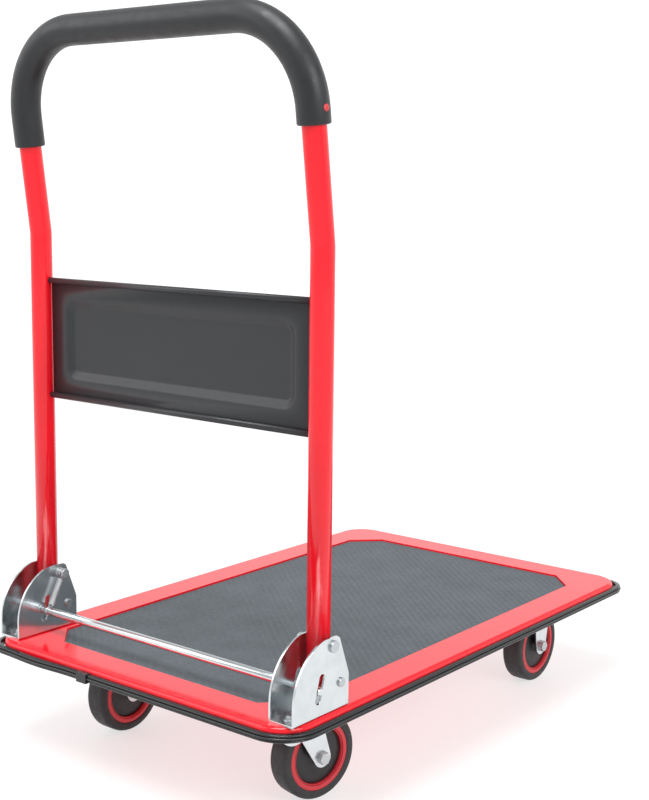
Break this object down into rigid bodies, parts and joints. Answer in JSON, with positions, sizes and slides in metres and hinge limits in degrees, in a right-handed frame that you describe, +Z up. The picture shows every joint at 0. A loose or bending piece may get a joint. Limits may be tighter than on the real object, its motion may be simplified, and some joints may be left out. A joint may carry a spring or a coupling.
{
  "type": "folding platform cart",
  "caption": "Flat-deck hand cart with a pressed steel deck, a bumper, swivel and fixed casters, and a U-shaped push handle that folds onto the deck.",
  "frame": {"origin": "on the floor, below the middle of the deck", "axes": "+X forward, away from the handle; +Y to the left; +Z up"},
  "size_m": [0.746, 0.48, 0.8576],
  "materials": {
    "red_enamel": "gloss",
    "mat_rubber": "matt, fine diagonal ribs",
    "bumper_vinyl": "satin",
    "grip_foam": "matt, fine grain",
    "red_plastic": "gloss",
    "black_enamel": "satin",
    "tyre_rubber": "matt",
    "rim_plastic": "satin",
    "hub_plastic": "satin",
    "spring_steel": "zinc plated",
    "rod_chrome": "bright zinc plated",
    "zinc_plate": "bright zinc plated"
  },
  "bodies": {
    "deck": {"deck_pan": "red_enamel", "deck_mat": "mat_rubber", "bumper_strip": "bumper_vinyl", "bumper_joiner": "bumper_vinyl", "cross_rails": "red_enamel", "hinge_bracket_left": "zinc_plate", "hinge_bracket_right": "zinc_plate", "bracket_bolts": "zinc_plate", "bracket_nuts": "zinc_plate", "pivot_pins": "zinc_plate", "stop_pins": "zinc_plate", "return_spring_left": "spring_steel", "return_spring_right": "spring_steel", "caster_studs": "zinc_plate", "caster_nuts": "zinc_plate", "rear_left_plate": "zinc_plate", "rear_left_bearing": "zinc_plate", "rear_left_kingpin": "zinc_plate", "rear_right_plate": "zinc_plate", "rear_right_bearing": "zinc_plate", "rear_right_kingpin": "zinc_plate", "front_left_fork": "zinc_plate", "front_left_axle": "zinc_plate", "front_left_axle_nut": "zinc_plate", "front_right_fork": "zinc_plate", "front_right_axle": "zinc_plate", "front_right_axle_nut": "zinc_plate"},
    "handle": {"handle_tube": "red_enamel", "foam_grip": "grip_foam", "grip_plugs": "red_plastic", "back_panel": "black_enamel"},
    "lock_rod": {"lock_rod": "rod_chrome"},
    "rear_left_swivel": {"rear_left_fork": "zinc_plate", "rear_left_axle": "zinc_plate", "rear_left_axle_nut": "zinc_plate"},
    "rear_left_wheel": {"rear_left_tyre": "tyre_rubber", "rear_left_rim": "rim_plastic", "rear_left_hub": "hub_plastic"},
    "rear_right_swivel": {"rear_right_fork": "zinc_plate", "rear_right_axle": "zinc_plate", "rear_right_axle_nut": "zinc_plate"},
    "rear_right_wheel": {"rear_right_tyre": "tyre_rubber", "rear_right_rim": "rim_plastic", "rear_right_hub": "hub_plastic"},
    "front_left_wheel": {"front_left_tyre": "tyre_rubber", "front_left_rim": "rim_plastic", "front_left_hub": "hub_plastic"},
    "front_right_wheel": {"front_right_tyre": "tyre_rubber", "front_right_rim": "rim_plastic", "front_right_hub": "hub_plastic"}
  },
  "joints": [
    {"name": "handle_fold", "type": "hinge", "parent": "deck", "child": "handle", "pos_m": [-0.2885, 0, 0.205], "axis": [0, 1, 0], "range_deg": [0, 97]},
    {"name": "rod_press", "type": "slide", "parent": "deck", "child": "lock_rod", "axis": [-0.2706, 0, -0.9627], "range_m": [0, 0.009], "stiffness_N_per_m": 1500, "springref_m": -0.01, "deforming": ["return_spring_left", "return_spring_right"]},
    {"name": "rear_left_swivel_turn", "type": "hinge", "parent": "deck", "child": "rear_left_swivel", "pos_m": [-0.258, 0.1484, 0.115], "axis": [0, 0, 1], "continuous": true},
    {"name": "rear_left_wheel_spin", "type": "hinge", "parent": "rear_left_swivel", "child": "rear_left_wheel", "pos_m": [-0.228, 0.14819, 0.05], "axis": [0.007, 1, 0], "continuous": true},
    {"name": "rear_right_swivel_turn", "type": "hinge", "parent": "deck", "child": "rear_right_swivel", "pos_m": [-0.258, -0.1484, 0.115], "axis": [0, 0, 1], "continuous": true},
    {"name": "rear_right_wheel_spin", "type": "hinge", "parent": "rear_right_swivel", "child": "rear_right_wheel", "pos_m": [-0.22867, -0.15469, 0.05], "axis": [0.2096, 0.9778, 0], "continuous": true},
    {"name": "front_left_wheel_spin", "type": "hinge", "parent": "deck", "child": "front_left_wheel", "pos_m": [0.258, 0.1484, 0.05], "axis": [0, 1, 0], "continuous": true},
    {"name": "front_right_wheel_spin", "type": "hinge", "parent": "deck", "child": "front_right_wheel", "pos_m": [0.258, -0.1484, 0.05], "axis": [0, 1, 0], "continuous": true}
  ]
}
